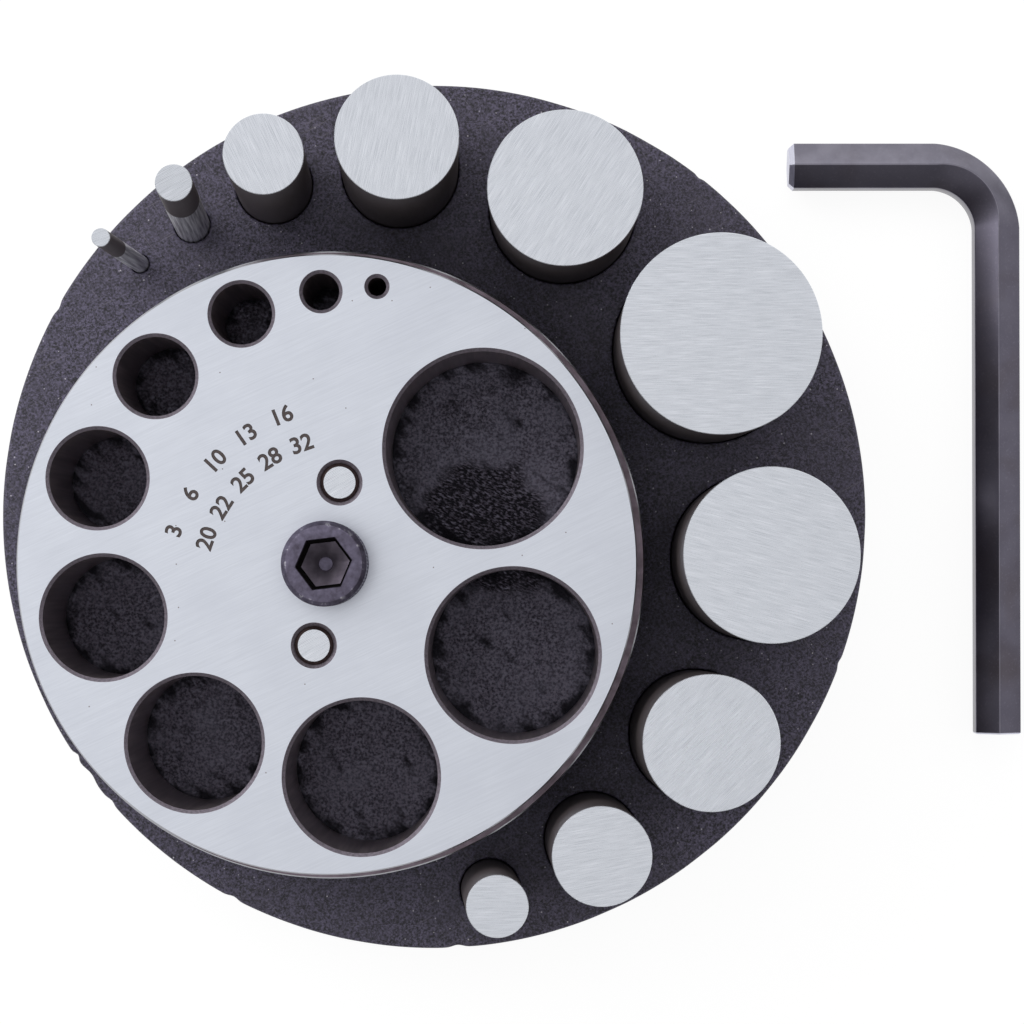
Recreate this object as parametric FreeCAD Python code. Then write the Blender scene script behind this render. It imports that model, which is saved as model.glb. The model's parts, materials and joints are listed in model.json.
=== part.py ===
"""Jeweller's disc cutter: a two-plate steel die with ten holes, ten loose punches and a hex key.

The die lies in a shallow round recess of a thick rubber base, and each punch stands in a
socket of its own in the same base. Sheet metal goes between the guide plate and the die
plate, the centre screw clamps it, and a punch driven down through a hole cuts the disc.
The hex key turns the screw, and lies on the bench beside the base.

Frame: millimetres, +Z up, origin at the centre of the base, on the bench.
"""
import FreeCAD, Part
import math
import os
from collections import namedtuple
from FreeCAD import Vector

INCH = 25.4
UP = Vector(0, 0, 1)

# Rubber base
BASE_RADIUS = 74.4
BASE_HEIGHT = 22.5
BASE_EDGE_ROUND = 0.6
RECESS_DEPTH = 2.5
RECESS_GAP = 0.3

# Die: the guide plate lies on the die plate, which stands out all round as a narrow ledge
DIE_CENTRE_X = -16.88
DIE_CENTRE_Y = -8.47
DIE_PLATE_RADIUS = 52.6
DIE_PLATE_THICKNESS = 3 / 4 * INCH
DIE_PLATE_FOOT_CHAMFER = 0.9
GUIDE_PLATE_RADIUS = 51.0
GUIDE_PLATE_THICKNESS = 1 / 2 * INCH
RIM_CHAMFER = 0.2
HOLE_CHAMFER = 0.57
PUNCH_CLEARANCE = 0.02

# Clamp screw, 3/8-16 socket head
SCREW_RADIUS = 3 / 16 * INCH
SCREW_LENGTH = 1 * INCH
SCREW_HEAD_RADIUS = 6.95
SCREW_HEAD_HEIGHT = 3 / 8 * INCH
SCREW_HEAD_CHAMFER = 0.7
SCREW_TIP_CHAMFER = 1.0
SCREW_SOCKET_ANGLE = 7.0
SCREW_SOCKET_DEPTH = 6.0
SCREW_SOCKET_CONE_DEPTH = 1.2
THREAD_CLEARANCE = 0.05
SCREW_HOLE_RADIUS = 25 / 128 * INCH
HEX_ACROSS_FLATS = 5 / 16 * INCH
HEX_FIT = 0.03

# Alignment pins, pressed into the die plate and free in the guide plate
PIN_RADIUS = 1 / 8 * INCH
PIN_CIRCLE_RADIUS = 13.55
PIN_CIRCLE_ANGLE = 81.1
PIN_CHAMFER = 0.55
PIN_CLEARANCE = 0.05
PIN_HOLE_CHAMFER = 0.57

# Punches and their sockets in the rubber
PUNCH_LENGTH = 60.0
PUNCH_CHAMFER = 0.1
SOCKET_GAP = 0.2

# One line per cutting size. Hole places are polar about the die centre, and socket places
# are polar about the base centre. The two largest punches stand in shallower sockets than
# the rest. Each punch leans a little in the soft rubber: lean_x and lean_y are how far its
# top stands off from straight above its socket.
Size = namedtuple("Size", "diameter hole_angle hole_radius socket_angle socket_radius "
                          "socket_depth lean_x lean_y")
SIZES = [
    Size(3, 79.8, 46.39, 139.4, 66.95, 13.5, -1.30, 0.05),
    Size(6, 91.3, 44.82, 129.7, 65.45, 13.5, 1.32, 2.02),
    Size(10, 108.9, 43.49, -81.4, 64.9, 13.5, 1.60, 1.09),
    Size(13, 132.4, 41.81, 115.8, 63.4, 13.5, 1.44, -0.10),
    Size(16, 159.5, 40.23, -64.0, 61.9, 13.5, 0.84, 0.51),
    Size(20, -166.5, 37.74, 95.6, 60.15, 13.5, 1.04, -0.15),
    Size(22, -126.4, 36.53, -40.0, 58.4, 13.5, 0.69, 0.48),
    Size(25, -80.7, 35.43, 67.2, 57.2, 13.5, -0.05, -1.17),
    Size(28, -26.0, 34.07, -7.5, 55.4, 8.0, -0.22, 0.06),
    Size(32, 36.5, 31.93, 31.4, 55.0, 8.0, -0.19, -0.81),
]

# Hex key, an L lying on the bench with a corner of its section up
KEY_LONG_ARM_X = 99.2
KEY_LONG_ARM_END_Y = -38.2
KEY_SHORT_ARM_Y = 62.25
KEY_SHORT_ARM_END_X = 62.4
KEY_BEND_RADIUS = 11.0
KEY_SHORT_END_CHAMFER = 0.9
KEY_LONG_END_CHAMFER = 0.25

# Levels worked out from the sizes above
DIE_BOTTOM = BASE_HEIGHT - RECESS_DEPTH
DIE_JOINT = DIE_BOTTOM + DIE_PLATE_THICKNESS
DIE_TOP = DIE_JOINT + GUIDE_PLATE_THICKNESS
HEX_CORNER_RADIUS = HEX_ACROSS_FLATS / math.sqrt(3)
CUT_MARGIN = 1.0


def polar(radius, angle, centre_x=0.0, centre_y=0.0, z=0.0):
    """Point at a radius and an angle in degrees about a vertical axis."""
    turn = math.radians(angle)
    return Vector(centre_x + radius * math.cos(turn), centre_y + radius * math.sin(turn), z)


def chamfered_rod(radius, length, low_chamfer, high_chamfer, start, direction=UP):
    """Turned rod with a 45 degree chamfer at each end; a chamfer of 0 leaves a sharp edge.

    A negative chamfer flares the end out, which makes the cutter for a countersunk hole.
    """
    outline = [Vector(0, 0, 0), Vector(radius - low_chamfer, 0, 0)]
    if low_chamfer:
        outline.append(Vector(radius, 0, abs(low_chamfer)))
    if high_chamfer:
        outline.append(Vector(radius, 0, length - abs(high_chamfer)))
    outline.append(Vector(radius - high_chamfer, 0, length))
    outline.append(Vector(0, 0, length))
    outline.append(outline[0])
    rod = Part.Face(Part.makePolygon(outline)).revolve(Vector(0, 0, 0), UP, 360)
    rod.Placement = FreeCAD.Placement(start, FreeCAD.Rotation(UP, direction))
    return rod


def hexagon(corner_radius, first_angle):
    """Flat hexagon about the Z axis."""
    corners = [polar(corner_radius, first_angle + 60 * side) for side in range(7)]
    return Part.Face(Part.makePolygon(corners))


def hole_centre(size, z):
    return polar(size.hole_radius, size.hole_angle, DIE_CENTRE_X, DIE_CENTRE_Y, z)


def pin_centres(z):
    return [polar(PIN_CIRCLE_RADIUS, PIN_CIRCLE_ANGLE + half_turn, DIE_CENTRE_X, DIE_CENTRE_Y, z)
            for half_turn in (0, 180)]


def punch_axis(size):
    """Direction from a punch's foot to its top."""
    height_above_rubber = PUNCH_LENGTH - size.socket_depth
    return Vector(size.lean_x, size.lean_y, height_above_rubber).normalize()


def punch_foot(size):
    """Centre of a punch's lower end, on the floor of its socket."""
    rim = polar(size.socket_radius, size.socket_angle, z=BASE_HEIGHT)
    return rim - punch_axis(size) * size.socket_depth


def make_rubber_base():
    base = Part.makeCylinder(BASE_RADIUS, BASE_HEIGHT)
    rims = [edge for edge in base.Edges if isinstance(edge.Curve, Part.Circle)]
    base = base.makeFillet(BASE_EDGE_ROUND, rims)
    recess_start = Vector(DIE_CENTRE_X, DIE_CENTRE_Y, DIE_BOTTOM)
    base = base.cut(Part.makeCylinder(DIE_PLATE_RADIUS + RECESS_GAP, RECESS_DEPTH + CUT_MARGIN,
                                      recess_start))
    for size in SIZES:
        socket = Part.makeCylinder(size.diameter / 2 + SOCKET_GAP, size.socket_depth + CUT_MARGIN,
                                   punch_foot(size), punch_axis(size))
        base = base.cut(socket)
    return base


def drilled_plate(radius, bottom, thickness, low_rim, high_rim, cutters):
    """Round steel plate on the die's axis, with its rim chamfers and its holes."""
    start = Vector(DIE_CENTRE_X, DIE_CENTRE_Y, bottom)
    plate = chamfered_rod(radius, thickness, low_rim, high_rim, start)
    for cutter in cutters:
        plate = plate.cut(cutter)
    return plate


def make_die_plate():
    """Lower plate: sharp cutting edges on top, the tapped hole and the tight pin holes."""
    cutters = []
    for size in SIZES:
        radius = size.diameter / 2 + PUNCH_CLEARANCE
        cutters.append(chamfered_rod(radius, DIE_PLATE_THICKNESS, -HOLE_CHAMFER, 0,
                                     hole_centre(size, DIE_BOTTOM)))
    for centre in pin_centres(DIE_BOTTOM):
        cutters.append(Part.makeCylinder(PIN_RADIUS, DIE_PLATE_THICKNESS, centre))
    tapped_start = Vector(DIE_CENTRE_X, DIE_CENTRE_Y, DIE_BOTTOM)
    cutters.append(chamfered_rod(SCREW_RADIUS + THREAD_CLEARANCE, DIE_PLATE_THICKNESS,
                                 -HOLE_CHAMFER, -HOLE_CHAMFER, tapped_start))
    return drilled_plate(DIE_PLATE_RADIUS, DIE_BOTTOM, DIE_PLATE_THICKNESS,
                         DIE_PLATE_FOOT_CHAMFER, RIM_CHAMFER, cutters)


def make_guide_plate():
    """Upper plate: guides the punches, slides on the pins and takes the screw's head."""
    cutters = []
    for size in SIZES:
        radius = size.diameter / 2 + PUNCH_CLEARANCE
        cutters.append(chamfered_rod(radius, GUIDE_PLATE_THICKNESS, 0, -HOLE_CHAMFER,
                                     hole_centre(size, DIE_JOINT)))
    for centre in pin_centres(DIE_JOINT):
        cutters.append(chamfered_rod(PIN_RADIUS + PIN_CLEARANCE, GUIDE_PLATE_THICKNESS,
                                     0, -PIN_HOLE_CHAMFER, centre))
    screw_start = Vector(DIE_CENTRE_X, DIE_CENTRE_Y, DIE_JOINT)
    cutters.append(Part.makeCylinder(SCREW_HOLE_RADIUS, GUIDE_PLATE_THICKNESS, screw_start))
    return drilled_plate(GUIDE_PLATE_RADIUS, DIE_JOINT, GUIDE_PLATE_THICKNESS,
                         RIM_CHAMFER, RIM_CHAMFER, cutters)


def make_alignment_pin(centre):
    length = DIE_PLATE_THICKNESS + GUIDE_PLATE_THICKNESS
    return chamfered_rod(PIN_RADIUS, length, PIN_CHAMFER, PIN_CHAMFER, centre)


def make_clamp_screw():
    """Socket head screw: the head stands on the guide plate, the shank reaches the die plate."""
    centre_line = Vector(DIE_CENTRE_X, DIE_CENTRE_Y, 0)
    head = chamfered_rod(SCREW_HEAD_RADIUS, SCREW_HEAD_HEIGHT, 0, SCREW_HEAD_CHAMFER,
                         centre_line + UP * DIE_TOP)
    shank = chamfered_rod(SCREW_RADIUS, SCREW_LENGTH, SCREW_TIP_CHAMFER, 0,
                          centre_line + UP * (DIE_TOP - SCREW_LENGTH))
    socket_floor = DIE_TOP + SCREW_HEAD_HEIGHT - SCREW_SOCKET_DEPTH
    socket = hexagon(HEX_CORNER_RADIUS + HEX_FIT, SCREW_SOCKET_ANGLE)
    socket = socket.extrude(UP * (SCREW_SOCKET_DEPTH + CUT_MARGIN))
    socket.translate(centre_line + UP * socket_floor)
    cone_floor = centre_line + UP * (socket_floor - SCREW_SOCKET_CONE_DEPTH)
    cone = Part.makeCone(0, HEX_ACROSS_FLATS / 2, SCREW_SOCKET_CONE_DEPTH, cone_floor)
    return head.fuse(shank).removeSplitter().cut(socket).cut(cone)


def make_punch(size):
    return chamfered_rod(size.diameter / 2, PUNCH_LENGTH, PUNCH_CHAMFER, PUNCH_CHAMFER,
                         punch_foot(size), punch_axis(size))


def make_hex_key():
    """Hexagonal bar bent to an L: short arm along X, long arm along Y."""
    bend_x = KEY_LONG_ARM_X - KEY_BEND_RADIUS
    bend_y = KEY_SHORT_ARM_Y - KEY_BEND_RADIUS
    short_end = Vector(bend_x, KEY_SHORT_ARM_Y, HEX_CORNER_RADIUS)
    section = hexagon(HEX_CORNER_RADIUS, 0)
    section.Placement = FreeCAD.Placement(short_end, FreeCAD.Rotation(UP, Vector(1, 0, 0)))
    short_arm = section.extrude(Vector(KEY_SHORT_ARM_END_X - bend_x, 0, 0))
    bend = section.revolve(Vector(bend_x, bend_y, 0), UP, -90)
    section.rotate(Vector(bend_x, bend_y, 0), UP, -90)
    long_arm = section.extrude(Vector(0, KEY_LONG_ARM_END_Y - bend_y, 0))
    key = short_arm.fuse([bend, long_arm]).removeSplitter()
    short_end_edges = [edge for edge in key.Edges if on_short_end(edge.BoundBox)]
    key = key.makeChamfer(KEY_SHORT_END_CHAMFER, short_end_edges)
    long_end_edges = [edge for edge in key.Edges if on_long_end(edge.BoundBox)]
    return key.makeChamfer(KEY_LONG_END_CHAMFER, long_end_edges)


def on_short_end(box):
    """True for a box that lies on the cut end of the key's short arm."""
    return abs(box.XMax - KEY_SHORT_ARM_END_X) < 0.01


def on_long_end(box):
    """True for a box that lies on the cut end of the key's long arm."""
    return abs(box.YMax - KEY_LONG_ARM_END_Y) < 0.01


def main():
    os.makedirs("parts", exist_ok=True)
    nodes = {
        "rubber_base": make_rubber_base(),
        "die_plate": make_die_plate(),
        "guide_plate": make_guide_plate(),
        "clamp_screw": make_clamp_screw(),
        "hex_key": make_hex_key(),
    }
    for name, centre in zip(("rear_alignment_pin", "front_alignment_pin"), pin_centres(DIE_BOTTOM)):
        nodes[name] = make_alignment_pin(centre)
    for size in SIZES:
        nodes["punch_%dmm" % size.diameter] = make_punch(size)
    for name, shape in nodes.items():
        shape.exportStep(os.path.join("parts", name + ".step"))
        box = shape.BoundBox
        print("%-20s valid %s, solids %d, volume %9.1f, z %6.2f to %6.2f" % (
            name, shape.isValid(), len(shape.Solids), shape.Volume, box.ZMin, box.ZMax))


main()
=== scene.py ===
"""Looks of a jeweller's disc cutter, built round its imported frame.

Shapes are worked out in millimetres, in the frame's own axes with +Z up, and scaled to metres
once, when a mesh is finished. Each piece stands for the frame's node of the same name.
"""

import json
import math
import random

import bmesh
import bpy
import numpy as np
from mathutils import Matrix, Vector, noise
from mathutils.geometry import delaunay_2d_cdt


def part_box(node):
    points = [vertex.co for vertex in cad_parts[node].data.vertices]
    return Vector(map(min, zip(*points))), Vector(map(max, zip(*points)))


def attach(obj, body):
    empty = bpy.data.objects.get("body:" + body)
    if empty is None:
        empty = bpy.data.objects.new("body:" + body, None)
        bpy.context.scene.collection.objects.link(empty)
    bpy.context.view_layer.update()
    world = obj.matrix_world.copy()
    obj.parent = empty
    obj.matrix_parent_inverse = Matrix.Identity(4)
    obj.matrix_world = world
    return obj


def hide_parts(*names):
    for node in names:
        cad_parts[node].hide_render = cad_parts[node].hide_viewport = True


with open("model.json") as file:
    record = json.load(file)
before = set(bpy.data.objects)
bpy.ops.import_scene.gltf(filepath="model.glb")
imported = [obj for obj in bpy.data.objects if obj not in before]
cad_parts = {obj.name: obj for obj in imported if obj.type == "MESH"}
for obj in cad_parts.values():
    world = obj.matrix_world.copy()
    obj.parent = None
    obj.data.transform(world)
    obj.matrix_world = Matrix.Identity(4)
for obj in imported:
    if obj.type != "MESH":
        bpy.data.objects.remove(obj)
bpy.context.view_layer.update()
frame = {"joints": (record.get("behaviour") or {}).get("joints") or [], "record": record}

MM = 0.001
INCH = 25.4
UP = Vector((0, 0, 1))
# Edges bent by more degrees than this are shaded sharp
SHARP_ANGLE = 28

# Rubber base
BASE_RADIUS = 74.4
BASE_EDGE_ROUND = 0.6
RIM_WAVINESS = 0.06
RIM_WAVES_PER_MM = 0.12
# The rim's nicks are full this far under the top and end this much lower, and they sink the top
# by this share of their depth
NICK_DEPTH = 0.6
NICK_FADE = 1.9
NICK_SINK = 0.4
RECESS_GAP = 0.3
RECESS_FOOT_ROUND = 0.25
LIP_ROUND = 0.3
SOCKET_GAP = 0.2
# Points of the pebbled floor: their spacing, and how far each is moved at random
PEBBLE_STEP = 0.32
PEBBLE_ROW_STEP = 0.87 * PEBBLE_STEP
PEBBLE_JITTER = 0.06
# The pebbles reach this far out under the die, and start and reach full depth this far inside that
PEBBLE_MARGIN = 0.9
PEBBLE_START = 0.25
PEBBLE_FADE = 0.8
PEBBLES_PER_MM = 1.5
PEBBLE_HEIGHT = 0.05
PEBBLE_SINK = 0.06
# One patch of the floor is wrinkled: its middle, its radius, the width of its fading edge and how
# far its outline wavers; the wrinkles run along a heading, and are squeezed across it
WRINKLE_PLACE = Vector((9.5, -1.0, 20.0))
WRINKLE_REACH = 15
WRINKLE_EDGE = 4
WRINKLE_RAGGEDNESS = 6
WRINKLES_PER_MM = 0.8
WRINKLE_HEADING = (0.9, 0.4)
WRINKLE_SQUEEZE = 1.7
WRINKLE_HEIGHT = 0.14
# Width of the painted shade on the rubber along each hole's wall
WALL_SHADE_BAND = 3.0

# Die plates
DIE_PLATE_RADIUS = 52.6
GUIDE_PLATE_RADIUS = 51.0
FOOT_CHAMFER = 0.9
RIM_CHAMFER = 0.2
HOLE_CHAMFER = 0.57
PIN_RADIUS = 1 / 8 * INCH
PIN_CHAMFER = 0.55
PIN_CLEARANCE = 0.05
PIN_HOLE_CHAMFER = 0.57
NUMBER_SIZE = 3.8
NUMBER_WEIGHT = 0.09
NUMBER_DEPTH = 0.12
# Centre of the numbers' two arcs, off the die's centre, and each arc's radius and end angles
NUMBER_ARC_SHIFT = (4, -4)
NUMBER_ARCS = ((30.5, 162, 112), (25.0, 161, 109))

# Clamp screw
SCREW_RADIUS = 3 / 16 * INCH
SCREW_LENGTH = 1 * INCH
SCREW_PITCH = 1 / 16 * INCH
SCREW_THREAD_DEPTH = 0.9
# The thread starts this far under the head, and ends a chamfer short of the tip
THREAD_START = 1.6
TIP_CHAMFER = 1.0
SCREW_HOLE_RADIUS = 25 / 128 * INCH
THREAD_CLEARANCE = 0.05
HEAD_RADIUS = 6.95
HEAD_CHAMFER = 0.7
HEAD_FLUTES = 72
HEAD_FLUTE_DEPTH = 0.22
HEX_ACROSS_FLATS = 5 / 16 * INCH
HEX_FIT = 0.03
SOCKET_ANGLE = 7.0
HEX_SOCKET_DEPTH = 6.0
HEX_FLOOR_SHARE = 0.87
HEX_SPOT_RADIUS = 1.1

# Punches
PUNCH_LENGTH = 60.0
PUNCH_CHAMFER = 0.1
# Direction of the grinding lines on each punch's end and on the pins' ends, in degrees from +X
GRIND_ANGLES = {3: 20, 6: 30, 10: 0, 13: -65, 16: 10, 20: 78, 22: 45, 25: 57, 28: -15, 32: 0}
PIN_GRIND_ANGLE = 30
# The small punches are browned from this height up; the others are browned all over
BROWNED_FROM = 42.0

# Hex key
KEY_BEND_RADIUS = 11.0
KEY_BEND_STEPS = 28
KEY_SHORT_END_CHAMFER = 0.9
KEY_LONG_END_CHAMFER = 0.25
KEY_EDGE_ROUND = 0.35
KEY_EDGE_STEPS = 4
# The key is rubbed in a band this deep along its corners; its short arm's upper outer side is lightened
# this much, a painted highlight
KEY_WEAR_BAND = 0.06
KEY_SHORT_ARM_HIGHLIGHT = 0.65
# In the middle of the bend the section's upper corner is pushed outwards, and its outer and
# inner sides are drawn inwards, by this much
KEY_RIDGE_PUSH = 0.6
KEY_OUTSIDE_DRAW = 0.55
KEY_INSIDE_DRAW = 0.2


def box_mm(node):
    """Lowest and highest corner of a frame node, in millimetres."""
    low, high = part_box(node)
    return low / MM, high / MM


BASE_TOP = 22.5
DIE_BOTTOM = box_mm("die_plate")[0].z
DIE_JOINT, DIE_TOP = (corner.z for corner in box_mm("guide_plate"))
DIE_CENTRE = sum(box_mm("guide_plate"), Vector()).xy / 2
HEAD_TOP = box_mm("clamp_screw")[1].z


# ---------------------------------------------------------------- nodes and colours

def add(tree, kind, inputs=(), **settings):
    """Add a node with its settings; a kind without "Node" in it is one of the shader's.

    Inputs names sockets in a dict, or takes them in order in a list. Each is set to a value, or
    linked to an output or to the first output of a node.
    """
    node = tree.nodes.new(kind if "Node" in kind else "ShaderNode" + kind)
    for name, value in settings.items():
        setattr(node, name, value)
    for name, value in inputs.items() if isinstance(inputs, dict) else enumerate(inputs):
        if isinstance(value, bpy.types.Node):
            value = next(output for output in value.outputs if output.enabled)
        if isinstance(value, bpy.types.NodeSocket):
            tree.links.new(value, node.inputs[name])
        else:
            node.inputs[name].default_value = value
    return node


def srgb(code):
    """Linear colour of an sRGB hex value."""
    shares = [int(code[i:i + 2], 16) / 255 for i in (1, 3, 5)]
    linear = [s / 12.92 if s <= 0.04045 else ((s + 0.055) / 1.055) ** 2.4 for s in shares]
    return (*linear, 1.0)


# ---------------------------------------------------------------- meshes

def segments(radius, step=0.5):
    """Number of sides that keeps each side of a circle near that many millimetres."""
    return 8 * max(6, math.ceil(2 * math.pi * radius / step / 8))


def circle(x, y, radius, z, count):
    turns = [2 * math.pi * i / count for i in range(count)]
    return [Vector((x + radius * math.cos(a), y + radius * math.sin(a), z)) for a in turns]


def inside_loops(points, loops):
    """For each flat point, whether an odd number of flat loops go round it."""
    inside = np.zeros(len(points), bool)
    x, y = np.array(points).T
    for loop in loops:
        for (ax, ay), (bx, by) in zip(loop, loop[1:] + loop[:1]):
            if ay != by:
                crosses = (ay > y) != (by > y)
                inside ^= crosses & (x < ax + (y - ay) / (by - ay) * (bx - ax))
    return inside


class Shell:
    """Points and faces of one closed piece, in millimetres. Each face keeps its finish's number."""

    def __init__(self):
        self.points = []
        self.faces = []
        self.finishes = []
        self.flat = []

    def loop(self, points):
        first = len(self.points)
        self.points.extend(points)
        return list(range(first, len(self.points)))

    def add_face(self, corners, finish, flat=False):
        self.faces.append(corners)
        self.finishes.append(finish)
        self.flat.append(flat)

    def loft(self, rings, finishes=None):
        """Skin through rings with equal counts of points; returns the first and last loops."""
        loops = [self.loop(ring) for ring in rings]
        for number, (low, high) in enumerate(zip(loops, loops[1:])):
            finish = finishes[number] if finishes else 0
            for i in range(len(low)):
                self.add_face((low[i - 1], low[i], high[i], high[i - 1]), finish)
        return loops[0], loops[-1]

    def fill(self, loops, finish=0, extra=()):
        """Flat face between loops, with optional extra points inside it."""
        numbers = [n for loop in loops for n in loop] + list(extra)
        edges = []
        for loop in loops:
            first = len(edges)
            edges += [(first + i, first + (i + 1) % len(loop)) for i in range(len(loop))]
        flat_points = [self.points[n].xy for n in numbers]
        found = delaunay_2d_cdt(flat_points, edges, [], 1, 1e-6)
        corners_of = [numbers[origin[0]] for origin in found[3]]
        triangles = [tuple(corners_of[i] for i in triangle) for triangle in found[2]]
        if not extra:
            outlines = [[tuple(self.points[n].xy) for n in loop] for loop in loops]
            centres = [sum((self.points[n].xy for n in corners), Vector((0, 0))) / 3
                       for corners in triangles]
            inside = inside_loops(centres, outlines)
            triangles = [corners for corners, keep in zip(triangles, inside) if keep]
        for corners in triangles:
            self.add_face(corners, finish, not extra)

    def build(self, name, materials):
        mesh = bpy.data.meshes.new(name)
        mesh.from_pydata([point * MM for point in self.points], [], self.faces)
        for material in materials:
            mesh.materials.append(material)
        mesh.polygons.foreach_set("material_index", self.finishes)
        return finished_object(name, mesh, self.flat)


def new_object(name, data):
    made = bpy.data.objects.new(name, data)
    bpy.context.scene.collection.objects.link(made)
    return made


def finished_object(name, mesh, flat=None):
    """Point the faces outwards, shade them smooth between sharp edges, and link the object."""
    work = bmesh.new()
    work.from_mesh(mesh)
    bmesh.ops.recalc_face_normals(work, faces=work.faces)
    work.to_mesh(mesh)
    work.free()
    mesh.shade_smooth()
    mesh.set_sharp_from_angle(angle=math.radians(SHARP_ANGLE))
    if flat:
        sides = {}
        for face, is_flat in zip(mesh.polygons, flat):
            for key in face.edge_keys:
                sides.setdefault(key, set()).add(is_flat)
        for edge in mesh.edges:
            if len(sides[edge.key]) == 2:
                edge.use_edge_sharp = True
    return new_object(name, mesh)


def set_wear(mesh, measure):
    """Attribute from 0 to 1: real wear on the screw's rim and the key's corners, a painted highlight on
    the key's short arm, and painted shade on the recess floor along the holes' walls.
    """
    wear = mesh.attributes.new("wear", "FLOAT", "POINT")
    wear.data.foreach_set("value", [measure(Vector(v.co)) for v in mesh.vertices])


def settle(piece, body, node):
    """The piece stands for its frame node: it goes on the node's body, and the node is hidden."""
    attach(piece, body)
    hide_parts(node)


# ---------------------------------------------------------------- geometry node trees

def new_tree(name, inputs):
    tree = bpy.data.node_groups.new(name, "GeometryNodeTree")
    for label, kind in inputs.items():
        tree.interface.new_socket(label, in_out="INPUT", socket_type="NodeSocket" + kind)
    tree.interface.new_socket("Geometry", in_out="OUTPUT", socket_type="NodeSocketGeometry")
    return tree


def bake(tree, host_mesh, values):
    """Plain mesh that a tree makes from a host mesh and its named sizes."""
    host = new_object("host", host_mesh)
    modifier = host.modifiers.new("maker", "NODES")
    modifier.node_group = tree
    for socket in tree.interface.items_tree:
        if socket.name in values:
            modifier[socket.identifier] = values[socket.name]
    depsgraph = bpy.context.evaluated_depsgraph_get()
    mesh = bpy.data.meshes.new_from_object(host.evaluated_get(depsgraph))
    if mesh.materials[0] is None:
        mesh.materials.pop(index=0)
    bpy.data.objects.remove(host)
    bpy.data.meshes.remove(host_mesh)
    return mesh


def end_tree(tree, geometry, material):
    """The last nodes of every tree: real geometry with a material."""
    real = add(tree, "GeometryNodeRealizeInstances", [geometry])
    painted = add(tree, "GeometryNodeSetMaterial", {"Geometry": real, "Material": material})
    add(tree, "NodeGroupOutput", [painted])


def make_turning_tree():
    """A lathe: it spins the host's profile, and cuts flutes, a thread or a hexagon where asked.

    The profile's points hold radius in x and height in z. Their attribute "form" says how much
    of the flutes (x), the thread (y) and the hexagon (z) each ring of the piece takes.
    """
    tree = new_tree("Turned piece", {
        "Profile": "Geometry", "Segments": "Int", "Start angle": "Float", "Flutes": "Int",
        "Flute depth": "Float", "Pitch": "Float", "Thread depth": "Float", "Material": "Material"})
    given = add(tree, "NodeGroupInput").outputs
    rings = add(tree, "GeometryNodeAttributeDomainSize", [given["Profile"]]).outputs["Point Count"]
    index = add(tree, "GeometryNodeInputIndex")
    row = add(tree, "FunctionNodeIntegerMath", [index, rings], operation="MODULO")
    column = add(tree, "FunctionNodeIntegerMath", [index, rings], operation="DIVIDE_FLOOR")
    place = add(tree, "GeometryNodeInputPosition")
    form = add(tree, "GeometryNodeInputNamedAttribute", {"Name": "form"}, data_type="FLOAT_VECTOR")
    sampled = []
    for value in (place, form):
        sample = add(tree, "GeometryNodeSampleIndex",
                     {"Geometry": given["Profile"], "Value": value, "Index": row},
                     data_type="FLOAT_VECTOR", domain="POINT")
        sampled.append(add(tree, "SeparateXYZ", [sample]).outputs)
    profile, share = sampled
    turn = add(tree, "Math", [column, given["Segments"]], operation="DIVIDE")
    angle = add(tree, "Math", [turn, 2 * math.pi], operation="MULTIPLY")
    flute_turn = add(tree, "Math", [angle, given["Flutes"]], operation="MULTIPLY")
    flute_swing = add(tree, "Math", [flute_turn], operation="COSINE")
    flute_wave = add(tree, "Math", [flute_swing, -0.5, 0.5], operation="MULTIPLY_ADD")
    flute_depth = add(tree, "Math", [given["Flute depth"], share["X"]], operation="MULTIPLY")
    flute_cut = add(tree, "Math", [flute_wave, flute_depth], operation="MULTIPLY")
    climb = add(tree, "Math", [profile["Z"], given["Pitch"]], operation="DIVIDE")
    lead = add(tree, "Math", [climb, turn], operation="SUBTRACT")
    phase = add(tree, "Math", [lead], operation="FRACT")
    slope = add(tree, "Math", [phase, 2.0, -1.0], operation="MULTIPLY_ADD")
    thread_wave = add(tree, "Math", [slope], operation="ABSOLUTE")
    thread_depth = add(tree, "Math", [given["Thread depth"], share["Y"]], operation="MULTIPLY")
    cuts = add(tree, "Math", [thread_wave, thread_depth, flute_cut], operation="MULTIPLY_ADD")
    in_side = add(tree, "Math", [angle, math.pi / 3], operation="FLOORED_MODULO")
    off_flat = add(tree, "Math", [in_side, math.pi / 6], operation="SUBTRACT")
    flat_share = add(tree, "Math", [off_flat], operation="COSINE")
    corner = add(tree, "Math", [1.0, flat_share], operation="DIVIDE")
    growth = add(tree, "Math", [corner, 1.0], operation="SUBTRACT")
    hexagon = add(tree, "Math", [growth, share["Z"], 1.0], operation="MULTIPLY_ADD")
    whole = add(tree, "Math", [profile["X"], hexagon], operation="MULTIPLY")
    radius = add(tree, "Math", [whole, cuts], operation="SUBTRACT")
    heading = add(tree, "Math", [angle, given["Start angle"]], operation="ADD")
    upright = add(tree, "CombineXYZ", {"X": radius, "Z": profile["Z"]})
    spun_place = add(tree, "VectorRotate", {"Vector": upright, "Angle": heading}, rotation_type="Z_AXIS")
    columns = add(tree, "Math", [given["Segments"], 1.0], operation="ADD")
    grid = add(tree, "GeometryNodeMeshGrid", {"Vertices X": columns, "Vertices Y": rings})
    placed = add(tree, "GeometryNodeSetPosition", {"Geometry": grid, "Position": spun_place})
    closed = add(tree, "GeometryNodeMergeByDistance", {"Geometry": placed, "Distance": 0.0005})
    end_tree(tree, closed, given["Material"])
    return tree


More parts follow.
